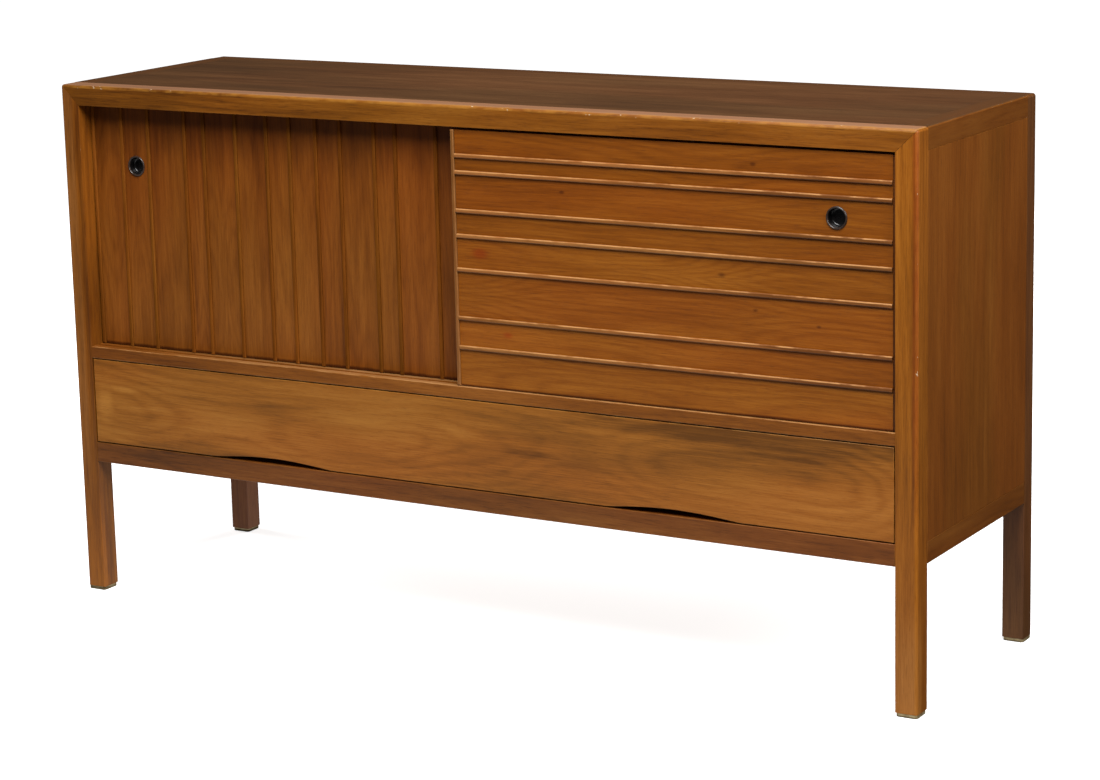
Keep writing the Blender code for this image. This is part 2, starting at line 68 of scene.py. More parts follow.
FLOOR_TO_TOP = cad_box[1].z
ROUND = 0.0045  # on the outer edges of the front and back frames
TOP_ROUND = 0.0025  # on the upper edges of the side rails
EASE = 0.0008  # on edges that a hand plane has only broken
FINE_EASE = 0.0004
BEAD_ROUND = 0.0016
ROUND_STEPS = 6
TOP_ROUND_STEPS = 5
EASE_STEPS = 3
FINE_EASE_STEPS = 2
BEAD_STEPS = 4
JOINT = 0.0003  # the line that shows at a mitre
CROWN_DEPTH = 0.0012  # how far down the tone of the upper side reaches
WELD = 0.00001  # points closer than this are one
ON_PLANE = 0.00001  # an edge closer than this lies on a plane
CREASE = math.radians(32)  # faces that meet at more than this are not shaded as one
FLAT = math.radians(0.5)  # faces that meet at less than this are one flat face

CUP_RIM = 0.0028  # width of the raised ring
CUP_LIP = 0.0020  # how far the ring stands out of the door
CUP_DEPTH = 0.0110
CUP_CORNER = 0.0030  # round between wall and floor
CUP_WALL = 0.0012
CUP_SET_BACK = 0.0001
CUP_CORNER_STEPS = 4
CUP_RIM_STEPS = 8
CUP_TURN_STEPS = 64

FLOOR_SIZE = 60.0
FLOOR_DROP = 0.0006  # keeps the floor clear of the foot plates


# ---- finishes ----


class Signal:
    """A socket of a finish. Sums written on it add Math nodes."""

    def __init__(self, finish, socket):
        self.finish = finish
        self.socket = socket

    def math(self, operation, *values):
        return self.finish.node("ShaderNodeMath", {"operation": operation}, dict(enumerate(values)))

    def __add__(self, other):
        return self.math("ADD", self, other)

    __radd__ = __add__

    def __sub__(self, other):
        return self.math("SUBTRACT", self, other)

    def __rsub__(self, other):
        return self.math("SUBTRACT", other, self)

    def __mul__(self, other):
        return self.math("MULTIPLY", self, other)

    __rmul__ = __mul__

    def __truediv__(self, other):
        return self.math("DIVIDE", self, other)

    def __pow__(self, other):
        return self.math("POWER", self, other)

    def sine(self):
        return self.math("SINE", self)

    def folded(self, size):
        return self.math("PINGPONG", self, size)


class Finish:
    """A material and its node tree."""

    def __init__(self, name, **fixed):
        self.material = bpy.data.materials.new(name)
        self.material.use_nodes = True
        self.tree = self.material.node_tree
        self.shader = self.tree.nodes["Principled BSDF"]
        for socket, value in fixed.items():
            self.shader.inputs[socket.replace("_", " ")].default_value = value

    def node(self, kind, settings=None, values=None, output=0):
        made = self.tree.nodes.new(kind)
        for name, value in (settings or {}).items():
            if name == "stops":
                self.set_stops(made.color_ramp, value)
            else:
                setattr(made, name, value)
        for name, value in (values or {}).items():
            self.plug(made.inputs[name], value)
        return Signal(self, made.outputs[output])

    def set_stops(self, ramp, stops):
        while len(ramp.elements) < len(stops):
            ramp.elements.new(1.0)
        for element, (at, color) in zip(ramp.elements, stops):
            element.position = at
            element.color = color

    def plug(self, socket, value):
        if isinstance(value, Signal):
            self.tree.links.new(value.socket, socket)
        else:
            socket.default_value = value

    def surface(self, **values):
        for socket, value in values.items():
            self.plug(self.shader.inputs[socket.replace("_", " ")], value)

    def point(self):
        return self.node("ShaderNodeTexCoord", output="Object")

    def split(self, vector):
        parts = self.node("ShaderNodeSeparateXYZ", values={"Vector": vector})
        outputs = parts.socket.node.outputs
        return [Signal(self, outputs[i]) for i in range(3)]

    def join(self, x, y, z):
        return self.node("ShaderNodeCombineXYZ", values={"X": x, "Y": y, "Z": z})

    def scaled(self, vector, by):
        return self.node("ShaderNodeVectorMath", {"operation": "MULTIPLY"}, {0: vector, 1: by})

    def noise(self, where, detail=2.0, roughness=0.5, output="Fac"):
        values = {"Vector": where, "Scale": 1.0, "Detail": detail, "Roughness": roughness}
        return self.node("ShaderNodeTexNoise", values=values, output=output)

    def smooth(self, value, low, high):
        """0 below low, 1 above high, and an even curve between."""
        settings = {"interpolation_type": "SMOOTHSTEP"}
        values = {"Value": value, "From Min": low, "From Max": high}
        return self.node("ShaderNodeMapRange", settings, values)

    def mixed(self, share, a, b, blend="MIX"):
        settings = {"data_type": "RGBA", "blend_type": blend}
        return self.node("ShaderNodeMix", settings, {0: share, 6: a, 7: b}, output=2)

    def attribute(self, name):
        return self.node("ShaderNodeAttribute", {"attribute_name": name}, output="Fac")

    def spread(self, x, y, half_x, half_y):
        """0 in the middle of an ellipse and 1 on its rim."""
        return ((x / half_x) * (x / half_x) + (y / half_y) * (y / half_y)) ** 0.5

    def bump(self, height, strength, distance):
        values = {"Strength": strength, "Distance": distance, "Height": height}
        return self.node("ShaderNodeBump", values=values)

    def ramp(self, share, stops):
        return self.node("ShaderNodeValToRGB", {"stops": stops}, {"Fac": share})

    def toned(self, color, tint):
        return self.mixed(1.0, color, rgba(tint), "MULTIPLY")


def rgba(color):
    return (*color, 1.0)


def tinted(color, tint):
    return tuple(a * b for a, b in zip(color, tint))


def timber(
    name,
    grain,
    colors,
    pith=(0.0, 0.6),
    flitch=2.0,
    sway=0.03,
    ring=0.007,
    ring_depth=0.10,
    figure=1.0,
    cloud=0.5,
    streak=0.40,
    fibre=0.50,
    blush=(1.08, 0.88, 0.80),
    blush_share=0.5,
    flecks=0.40,
    pores=0.30,
    gloss=0.44,
    shine=0.25,
    coat=0.05,
    wear_and_highlight=0.35,
    wear_and_highlight_tint=(1.15, 1.35, 1.8),
    chips=(),
    figure_and_shade_patches=(),
    knots=(),
    zones=(),
    crown=(),
    foot_shade=(),
):
    """Lacquered wood with its grain along x, y or z.

    colors: dark, middle and pale.
    pith: where the middle of the rings lies, across the board and through it.
    flitch: the width after which the rings run back, as in boards sawn from one log.
    figure, cloud, streak, fibre: how strongly the tone varies, from hand-wide to hair-wide.
    blush: the tint of the redder patches.
    wear_and_highlight, wear_and_highlight_tint: how pale the marked arrises are, and the tint of
    that pale color; wear, and on the level beads and the ledge also a painted highlight.
    chips: the color of the wood under chipped lacquer.
    figure_and_shade_patches: (along, across, half length, half width, lighter or darker); patches
    of figure, and some of painted shade.
    zones: (across where it begins, is full, depth behind which it ends,
        along where it begins, is full, tint).
    knots: (along, across, size, tint).
    crown: the color of the side that faces up; on the front frame it is lighter and hazier than the
    wood, a painted sheen of the light from above.
    foot_shade: the heights between which the painted shade at the foot of the doors, over the
    ledge, fades.
    """
    finish = Finish(name, Coat_Weight=coat, Coat_Roughness=0.25, Specular_IOR_Level=shine)
    board = finish.attribute("board")
    x, y, z = finish.split(finish.point())
    length, width, depth = {"x": (x, z, y), "y": (y, z, x), "z": (z, x, y)}[grain]
    along = length + board * 7.3
    across = width + board * 0.613
    where = finish.join(along, across, depth)

    slow = finish.noise(finish.scaled(where, (1.6, 6.0, 6.0)), 2.0, 0.5, "Color")
    drift, bend, warm = finish.split(slow)
    flow = finish.join(along, across + (bend - 0.5) * 0.016, depth + (bend - 0.5) * 0.010)

    wander = finish.noise(finish.scaled(where, (2.2, 0.6, 0.6)), 1.0, 0.5, "Color")
    sway_across, sway_depth, fade = finish.split(wander)
    offset = (across + (sway_across - 0.5) * sway).folded(flitch) - pith[0]
    inward = depth - pith[1] + (sway_depth - 0.5) * sway * 2.4
    mid = finish.noise(finish.scaled(flow, (5.0, 36.0, 36.0)), 3.0, 0.55)
    radius = (offset * offset + inward * inward) ** 0.5
    phase = radius / ring + mid * 1.6
    rings = (phase * math.tau).sine() * 0.5 + 0.5
    rings = rings * rings * finish.smooth(fade, 0.26, 0.55)

    streaks = finish.noise(finish.scaled(flow, (3.2, 100.0, 100.0)), 3.0, 0.6)
    fibres = finish.noise(finish.scaled(flow, (14.0, 640.0, 640.0)), 3.0, 0.62)
    pits = finish.noise(finish.scaled(flow, (75.0, 1900.0, 1900.0)), 1.0, 0.5)
    pore = 1 - finish.smooth(pits, 0.28, 0.42)
    dashes = finish.noise(finish.scaled(flow, (36.0, 640.0, 640.0)), 2.0, 0.6)
    fleck = finish.smooth(dashes, 0.52, 0.68)

    tone = 0.5 + (mid - 0.5) * 0.55 * figure + (drift - 0.5) * cloud + finish.attribute("shade")
    tone = tone + (streaks - 0.5) * streak + (fibres - 0.5) * fibre - (rings - 0.3) * ring_depth
    tone = tone - (fleck - 0.25) * flecks * 0.3
    for at_length, at_width, half_length, half_width, amount in figure_and_shade_patches:
        far = finish.spread(length - at_length, width - at_width, half_length, half_width)
        far = far + (mid - 0.5) * 0.9 + (streaks - 0.5) * 0.8
        tone = tone + (1 - finish.smooth(far, 0.25, 1.15)) * amount
    color = finish.ramp(tone, [(at, rgba(c)) for at, c in zip((0.12, 0.50, 0.88), colors)])
    reddish = finish.toned(color, blush)
    color = finish.mixed(finish.smooth(warm, 0.40, 0.62) * blush_share, color, reddish)
    color = finish.mixed(pore * pores, color, rgba(tinted(colors[0], (0.5, 0.45, 0.4))))
    for low, high, near, start, stop, tint in zones:
        band = finish.smooth(width + (mid - 0.5) * 0.004, low, high)
        band = band * (1 - finish.smooth(depth, near, near + 0.002))
        band = band * finish.smooth(length, start, stop)
        color = finish.mixed(band, color, finish.toned(color, tint))
    for at_length, at_width, size, tint in knots:
        far = finish.spread(length - at_length, width - at_width, size * 1.7, size)
        far = far + (mid - 0.5) * 1.2 + (fibres - 0.5) * 0.5
        eye = 1 - finish.smooth(far, 0.2, 1.2)
        color = finish.mixed(eye * 0.8, color, finish.toned(color, tint))
    if crown:
        upper = finish.smooth(z, FLOOR_TO_TOP - CROWN_DEPTH, FLOOR_TO_TOP - CROWN_DEPTH / 4)
        color = finish.mixed(upper * (0.6 + mid * 0.5), color, rgba(crown))
    # Painted shade at the foot of the door boards, for the gap under the door.
    if foot_shade:
        shaded_foot = finish.toned(color, FOOT_SHADE_TINT)
        color = finish.mixed(1 - finish.smooth(z + (mid - 0.5) * 0.004, *foot_shade), color, shaded_foot)
    patch = finish.noise(finish.scaled(where, (30.0, 60.0, 60.0)), 3.0, 0.65)
    # Paler marked arrises: wear, and on the level beads and the ledge a painted highlight.
    wear_and_highlight_mask = finish.attribute("worn") * finish.smooth(patch, 0.36, 0.62)
    color = finish.mixed(wear_and_highlight_mask * wear_and_highlight, color, rgba(tinted(colors[2], wear_and_highlight_tint)))
    if chips:
        flake = finish.noise(finish.scaled(where, (150.0, 260.0, 260.0)), 2.0, 0.5)
        chipped = finish.attribute("worn") * finish.smooth(flake, 0.71, 0.75)
        color = finish.mixed(chipped, color, rgba(chips))
    # Painted shade on the marked sides of the beads, where they meet the boards.
    color = finish.mixed(finish.attribute("soil") * 0.4, color, finish.toned(color, BEAD_SIDE_SHADE_TINT))

    roughness = gloss + (fibres - 0.5) * 0.16 + (mid - 0.5) * 0.10 + pore * 0.10
    height = fibres * 0.35 + streaks * 0.35 + rings * 0.20 - pore * 0.8 - fleck * 0.4
    finish.surface(Base_Color=color, Roughness=roughness, Normal=finish.bump(height, 0.30, 0.00022))
    return finish.material


def brass_finish():
    finish = Finish("tarnished_brass", Metallic=0.65)
    where = finish.point()
    cloud = finish.noise(finish.scaled(where, (90.0, 90.0, 160.0)), 4.0, 0.6)
    brushed = finish.noise(finish.scaled(where, (160.0, 160.0, 2600.0)), 2.0, 0.5)
    color = finish.ramp(cloud, [(at, rgba(c)) for at, c in zip((0.30, 0.50, 0.72), BRASS_COLORS)])
    finish.surface(
        Base_Color=color,
        Roughness=0.40 + (1 - cloud) * 0.35 + (brushed - 0.5) * 0.15,
        Normal=finish.bump(brushed, 0.25, 0.0001),
    )
    return finish.material


def black_finish():
    finish = Finish("gloss_black", Coat_Weight=0.25, Coat_Roughness=0.12)
    where = finish.point()
    smear = finish.noise(finish.scaled(where, (210.0, 210.0, 210.0)), 3.0, 0.6)
    specks = finish.noise(finish.scaled(where, (1500.0, 1500.0, 1500.0)), 2.0, 0.6)
    dust = finish.smooth(specks, 0.60, 0.74)
    color = finish.mixed(dust * 0.3, rgba(BLACK), rgba(BLACK_DUST))
    color = finish.mixed(finish.attribute("worn") * (0.35 + smear * 0.6), color, rgba(BLACK_RUBBED))
    finish.surface(Base_Color=color, Roughness=0.20 + smear * 0.16 + dust * 0.2)
    return finish.material


FRAME_COLORS = ((0.110, 0.032, 0.0025), (0.238, 0.077, 0.0055), (0.36, 0.133, 0.015))
HEAD_COLORS = ((0.095, 0.028, 0.0020), (0.205, 0.066, 0.0045), (0.31, 0.115, 0.012))
LEDGE_COLORS = ((0.095, 0.026, 0.0025), (0.205, 0.062, 0.0060), (0.31, 0.105, 0.014))
LOW_COLORS = ((0.064, 0.020, 0.0028), (0.153, 0.047, 0.0060), (0.24, 0.086, 0.015))
SIDE_COLORS = ((0.100, 0.030, 0.0025), (0.180, 0.055, 0.0050), (0.26, 0.093, 0.012))
RAIL_COLORS = ((0.085, 0.024, 0.0020), (0.152, 0.044, 0.0040), (0.22, 0.076, 0.010))
# Lighter than the right rear post's colors: painted light on the left rear post.
LIT_LEFT_POST_COLORS = ((0.080, 0.024, 0.0050), (0.170, 0.050, 0.0095), (0.25, 0.088, 0.020))
POST_COLORS = ((0.055, 0.020, 0.0055), (0.115, 0.043, 0.0110), (0.18, 0.076, 0.021))
TOP_COLORS = ((0.040, 0.0165, 0.0050), (0.079, 0.0330, 0.0100), (0.13, 0.060, 0.021))
CROWN_COLOR = (0.066, 0.0280, 0.0090)
DOOR_COLORS = ((0.110, 0.028, 0.0016), (0.218, 0.061, 0.0034), (0.33, 0.110, 0.009))
REAR_DOOR_COLORS = ((0.090, 0.024, 0.0020), (0.185, 0.054, 0.0050), (0.29, 0.096, 0.011))
REAR_BEAD_COLORS = ((0.074, 0.022, 0.0017), (0.150, 0.046, 0.0040), (0.24, 0.080, 0.009))
MEETING_COLORS = ((0.105, 0.038, 0.0070), (0.200, 0.075, 0.0160), (0.29, 0.122, 0.032))
BEAD_COLORS = ((0.150, 0.052, 0.0100), (0.260, 0.098, 0.0220), (0.37, 0.160, 0.045))
# Very dark: painted shade of the gap between the front door's end and the right stile.
SHADED_SHUT_COLORS = ((0.040, 0.010, 0.0015), (0.080, 0.022, 0.0030), (0.13, 0.040, 0.006))
DRAWER_COLORS = ((0.120, 0.041, 0.0044), (0.290, 0.100, 0.0108), (0.43, 0.175, 0.028))
INNER_COLORS = ((0.110, 0.046, 0.0140), (0.230, 0.105, 0.0370), (0.34, 0.170, 0.068))
OAK_COLORS = ((0.220, 0.115, 0.0450), (0.420, 0.260, 0.1250), (0.56, 0.390, 0.210))
HARDBOARD_COLORS = ((0.120, 0.062, 0.0300), (0.205, 0.115, 0.0600), (0.29, 0.170, 0.095))
BRASS_COLORS = ((0.16, 0.11, 0.050), (0.42, 0.32, 0.165), (0.62, 0.52, 0.32))
BLACK = (0.0060, 0.0050, 0.0050)
BLACK_DUST = (0.05, 0.040, 0.033)
BLACK_RUBBED = (0.045, 0.026, 0.018)
# The tint of the painted shade at the foot of the doors.
FOOT_SHADE_TINT = (0.30, 0.24, 0.20)
# The tint of the painted shade on the sides of the beads.
BEAD_SIDE_SHADE_TINT = (0.34, 0.26, 0.20)
BARE_WOOD = (0.50, 0.36, 0.23)
RED_KNOT = (0.95, 0.50, 0.40)
DARK_KNOT = (0.42, 0.36, 0.40)

frame_upright = timber(
    "frame_walnut_upright",
    "z",
    FRAME_COLORS,
    streak=0.6,
    flecks=0.4,
    chips=BARE_WOOD,
    # The lighter, hazy upper side of the stiles is a painted sheen of the light from above.
    crown=(0.200, 0.088, 0.030),
    wear_and_highlight=0.12,
    wear_and_highlight_tint=(1.1, 1.1, 1.2),
    zones=(
        (0.6905, 0.6945, -0.2010, 0.20, 0.42, (0.80, 0.60, 0.60)),
        # Painted light: the right stile lighter above its foot.
        (0.6000, 0.6200, -0.2010, 0.08, 0.24, (1.10, 1.12, 0.98)),
        # A painted reflection: the pale olive band on the outer part of the left stile.
        (-0.6760, -0.6850, -0.2010, 0.10, 0.30, (1.02, 1.20, 2.9)),
        # Both stiles lighter low down; on the right one the bluish haze is a painted reflection.
        (0.0, 0.1, -0.1900, 0.17, 0.06, (1.18, 1.36, 2.4)),
        (0.0, -0.1, -0.1900, 0.17, 0.06, (1.15, 1.12, 1.0)),
    ),
    figure_and_shade_patches=(
        # Painted shade: the left stile darker, most along its inner edge and at its top, as the
        # light falls off to the left.
        (0.500, -0.6705, 0.60, 0.0055, -0.20),
        (0.760, -0.6840, 0.12, 0.0300, -0.16),
    ),
)
head_level = timber(
    "head_walnut_level",
    "x",
    HEAD_COLORS,
    streak=0.6,
    flecks=0.6,
    wear_and_highlight=0.5,
    chips=BARE_WOOD,
    # The lighter, hazy upper side of the head rail is a painted sheen of the light from above.
    crown=(0.260, 0.128, 0.068),
    # Painted shade: the left end darker, as the light falls off to the left.
    figure_and_shade_patches=((-0.600, 0.770, 0.260, 0.100, -0.14),),
)
low_level = timber(
    "low_walnut_level",
    "x",
    LOW_COLORS,
    streak=0.6,
    flecks=0.6,
    # Painted shade: the left end darker, as the light falls off to the left.
    figure_and_shade_patches=((-0.600, 0.200, 0.220, 0.060, -0.12),),
)
ledge_level = timber(
    "ledge_walnut_level",
    "x",
    LEDGE_COLORS,
    streak=0.6,
    flecks=0.6,
    # The pale front edge and the bluish strip on top of the ledge are a painted reflection of the
    # light.
    wear_and_highlight=0.8,
    wear_and_highlight_tint=(1.3, 1.9, 5.0),
    zones=((0.3862, 0.3868, 1.0, -0.60, -0.35, (1.25, 1.7, 4.5)),),
    # Painted shade: the left end darker, as the light falls off to the left.
    figure_and_shade_patches=((-0.620, 0.370, 0.200, 0.060, -0.16),),
)
side_upright = timber(
    "side_walnut_upright",
    "z",
    SIDE_COLORS,
    pith=(0.0, 0.02),
    flitch=0.11,
    ring_depth=0.08,
    figure=0.8,
    cloud=0.8,
)
post_cut = {"pith": (0.3, 0.5), "streak": 0.6, "wear_and_highlight": 0.08, "crown": CROWN_COLOR}
side_post = timber("side_walnut_post", "z", POST_COLORS, **post_cut)
# The left rear post is a lighter copy of the rear post finish: painted light.
lit_left_post = timber("lit_left_walnut_post", "z", LIT_LEFT_POST_COLORS, **post_cut)
rail_cut = {"wear_and_highlight": 0.15, "crown": CROWN_COLOR}
side_rail = timber("side_walnut_rail", "y", RAIL_COLORS, pith=(0.77, 0.1), **rail_cut)
rear_rail = timber("rear_walnut_rail", "x", RAIL_COLORS, **rail_cut)
top_veneer = timber(
    "top_veneer",
    "x",
    TOP_COLORS,
    pith=(0.6, -0.12),
    gloss=0.46,
    cloud=0.7,
    streak=0.5,
)
level_boards = timber(
    "level_door_boards",
    "x",
    DOOR_COLORS,
    pith=(0.02, -0.17),
    flitch=0.055,
    sway=0.05,
    ring=0.0055,
    ring_depth=0.12,
    figure=0.8,
    streak=0.32,
    flecks=0.35,
    fibre=0.55,
    zones=((0.55, 0.70, 1.0, -2.0, -1.0, (0.99, 0.96, 0.82)),),
    # Painted shade at the foot of the boards, for the gap under the door.
    foot_shade=(0.3885, 0.3920),
    knots=(
        (0.462, 0.729, 0.0030, DARK_KNOT),
        (0.464, 0.533, 0.0028, DARK_KNOT),
        (0.557, 0.518, 0.0028, DARK_KNOT),
        (0.414, 0.577, 0.0042, DARK_KNOT),
        (0.169, 0.674, 0.0026, DARK_KNOT),
        (0.034, 0.580, 0.0085, RED_KNOT),
        (0.077, 0.466, 0.0060, RED_KNOT),
    ),
)
upright_boards = timber(
    "upright_door_boards",
    "z",
    REAR_DOOR_COLORS,
    pith=(0.02, -0.15),
    flitch=0.055,
    sway=0.04,
    ring=0.0055,
    ring_depth=0.10,
    figure=0.9,
    streak=0.34,
    flecks=0.32,
    zones=(
        (-2.0, -1.0, 1.0, 0.52, 0.68, (0.97, 0.88, 0.72)),
        (-2.0, -1.0, 1.0, 0.54, 0.44, (1.07, 1.09, 1.18)),
    ),
    # Painted shade at the foot of the boards, for the gap under the door.
    foot_shade=(0.3895, 0.3935),
    figure_and_shade_patches=(
        (0.520, -0.520, 0.050, 0.016, -0.14),
        (0.530, -0.355, 0.050, 0.016, -0.14),
        (0.470, -0.485, 0.090, 0.003, -0.30),
        (0.440, -0.220, 0.060, 0.003, -0.25),
        (0.600, -0.640, 0.150, 0.012, 0.08),
        # Painted shadow of the head rail over the top of the rear door.
        (0.745, -0.330, 0.085, 1.200, -0.20),
    ),
)
level_beads = timber(
    "level_beads",
    "x",
    BEAD_COLORS,
    streak=0.6,
    # The pale upper side of the beads is a painted highlight of the light from above.
    wear_and_highlight=0.85,
    wear_and_highlight_tint=(1.20, 1.35, 1.7),
    # Painted shade: the beads darker towards their right ends.
    figure_and_shade_patches=((0.640, 0.560, 0.240, 1.0, -0.30),),
)
meeting_bead = timber("meeting_bead", "z", MEETING_COLORS, streak=0.6)
# Painted shade of the gap between the front door's end and the right stile.
shaded_shut_bead = timber("shaded_shut_bead", "z", SHADED_SHUT_COLORS)
upright_beads = timber(
    "upright_beads", "z", REAR_BEAD_COLORS, streak=0.6, gloss=0.62, shine=0.06, coat=0.0, wear_and_highlight=0.0
)
drawer_face = timber(
    "drawer_face_walnut",
    "x",
    DRAWER_COLORS,
    pith=(0.30, -0.16),
    sway=0.10,
    ring=0.012,
    ring_depth=0.12,
    figure=0.75,
    cloud=0.8,
    streak=0.32,
    flecks=0.30,
    figure_and_shade_patches=(
        (0.440, 0.358, 0.380, 0.030, -0.27),
        (-0.520, 0.244, 0.260, 0.018, -0.14),
        (-0.600, 0.360, 0.120, 0.016, -0.12),
        (-0.100, 0.290, 0.120, 0.024, 0.12),
        (-0.648, 0.300, 0.016, 0.030, 0.20),
        (-0.610, 0.325, 0.030, 0.006, 0.22),
        (-0.560, 0.297, 0.060, 0.005, 0.16),
        (-0.330, 0.318, 0.040, 0.012, -0.10),
        (-0.010, 0.318, 0.050, 0.018, 0.16),
        (0.110, 0.300, 0.050, 0.008, -0.14),
        (0.480, 0.275, 0.300, 0.040, 0.12),
    ),
)
matt_walnut = {"gloss": 0.55, "coat": 0.0}
inner_level = timber("inner_walnut_level", "x", INNER_COLORS, **matt_walnut)
inner_upright = timber("inner_walnut_upright", "z", INNER_COLORS, **matt_walnut)
waxed_oak = {"blush_share": 0.15, "pores": 0.6, "gloss": 0.6, "coat": 0.0}
oak_side = timber("oak_drawer_side", "y", OAK_COLORS, **waxed_oak)
oak_across = timber("oak_drawer_across", "x", OAK_COLORS, **waxed_oak)
hardboard = timber(
    "brown_hardboard",
    "x",
    HARDBOARD_COLORS,
    ring_depth=0.0,
    streak=0.25,
    fibre=0.9,
    pores=0.2,
    gloss=0.7,
    coat=0.0,
)
brass = brass_finish()
black = black_finish()


# ---- shaping ----


def stock(low, high):
    """A sawn board between two opposite corners."""
    board = bmesh.new()
    board.faces.layers.float.new("worn")
    bmesh.ops.create_cube(board, size=1.0)
    bmesh.ops.scale(board, vec=[b - a for a, b in zip(low, high)], verts=board.verts)
    bmesh.ops.translate(board, vec=[(a + b) / 2 for a, b in zip(low, high)], verts=board.verts)
    return board


def cad_copy(node):
    """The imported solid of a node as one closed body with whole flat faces."""
    solid = bmesh.new()
    solid.from_mesh(NODES[node].data)
    for layer in solid.loops.layers.uv.values():
        solid.loops.layers.uv.remove(layer)
    solid.faces.layers.float.new("worn")
    bmesh.ops.remove_doubles(solid, verts=solid.verts, dist=WELD)
    bmesh.ops.dissolve_limit(solid, angle_limit=FLAT, verts=solid.verts, edges=solid.edges)
    return solid


def edges_on(shape, **planes):
    """The edges that lie on every plane given."""
    found = shape.edges[:]
    for axis, at in planes.items():
        found = [e for e in found if all(abs(getattr(v.co, axis) - at) < ON_PLANE for v in e.verts)]
    return found


def round_over(shape, edges, radius, segments):
    """Rounds the edges and marks the new faces, which wear makes paler and some finishes light with
    a painted highlight.
    """
    worn = shape.faces.layers.float["worn"]
    soil = shape.faces.layers.float.get("soil")
    made = bmesh.ops.bevel(
        shape,
        geom=edges,
        offset=radius,
        offset_type="OFFSET",
        segments=segments,
        profile=0.5,
        affect="EDGES",
        clamp_overlap=True,
        material=-1,
    )
    for face in made["faces"]:
        face[worn] = 1.0
        face.smooth = True
        # The rounded faces get no painted side shade.
        if soil:
            face[soil] = 0.0


def saw(shape, point, normal):
    """Cuts off what lies beyond the plane, and closes the cut."""
    whole = shape.verts[:] + shape.edges[:] + shape.faces[:]
    cut = bmesh.ops.bisect_plane(
        shape,
        geom=whole,
        plane_co=point,
        plane_no=normal,
        clear_outer=True,
    )
    rim = [part for part in cut["geom_cut"] if isinstance(part, bmesh.types.BMEdge)]
    bmesh.ops.edgeloop_fill(shape, edges=rim)


def fit_piece(name, shape, finish, node):
    """Makes the shape a piece that stands for the node, on the node's body, and hides the node."""
    shape.normal_update()
    for edge in shape.edges:
        edge.smooth = edge.calc_face_angle(0.0) < CREASE
    mesh = bpy.data.meshes.new(name)
    shape.to_mesh(mesh)
    shape.free()
    mesh.materials.append(finish)
    piece = bpy.data.objects.new(name, mesh)
    bpy.context.scene.collection.objects.link(piece)
    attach(piece, BODY[node])
    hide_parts(node)
    return piece


def paint(finish, *nodes):
    """Gives a finish to nodes that stay as they are."""
    for node in nodes:
        NODES[node].data.materials.clear()
        NODES[node].data.materials.append(finish)


# ---- carcase ----

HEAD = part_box("top_front_rail")[0].z
RAIL_HEIGHT = FLOOR_TO_TOP - HEAD
LEG_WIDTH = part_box("front_left_leg")[1].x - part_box("front_left_leg")[0].x


def mitre_normal(side):
    """Points up and inwards, square to the mitre between a leg and the rail over it."""
    return Vector((-side * RAIL_HEIGHT, 0, LEG_WIDTH)).normalized()


def make_leg(name, node, finish):
    """A leg that runs up to the mitre, with its outer edges rounded."""
    low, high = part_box(node)
    side = -1 if low.x < 0 else 1
    front = low.y < 0
    outer, inner = (low.x, high.x) if side < 0 else (high.x, low.x)
    face = low.y if front else high.y
    top = FLOOR_TO_TOP
    leg = stock(low, (high.x, high.y, top))
    outside = edges_on(leg, x=outer, y=face)
    outside += edges_on(leg, y=face, z=top) + edges_on(leg, x=outer, z=top)
    round_over(leg, outside, ROUND, ROUND_STEPS)
    round_over(leg, edges_on(leg, x=inner, y=face), EASE, EASE_STEPS)
    normal = mitre_normal(side)
    saw(leg, Vector((outer, 0, top)) - normal * JOINT / 2, normal)
    fit_piece(name, leg, finish, node)


def make_head_rail(name, node, finish):
    """The long rail over the doors or the back, rounded outside and mitred at both ends."""
    low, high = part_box(node)
    face = low.y if low.y < 0 else high.y
    left, right = cad_box[0].x, cad_box[1].x
    rail = stock((left, low.y, HEAD), (right, high.y, FLOOR_TO_TOP))
    outside = edges_on(rail, y=face, z=FLOOR_TO_TOP)
    for x in (left, right):
        outside += edges_on(rail, x=x, y=face) + edges_on(rail, x=x, z=FLOOR_TO_TOP)
    round_over(rail, outside, ROUND, ROUND_STEPS)
    round_over(rail, edges_on(rail, y=face, z=HEAD), EASE, EASE_STEPS)
    for side, x in ((-1, left), (1, right)):
        normal = mitre_normal(side)
        saw(rail, Vector((x, 0, FLOOR_TO_TOP)) + normal * JOINT / 2, -normal)
    fit_piece(name, rail, finish, node)


def make_board(name, node, finish, edge, **plane):
    """A plain board with the edges on one of its planes rounded, to a radius in so many steps."""
    board = stock(*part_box(node))
    round_over(board, edges_on(board, **plane), *edge)
    fit_piece(name, board, finish, node)


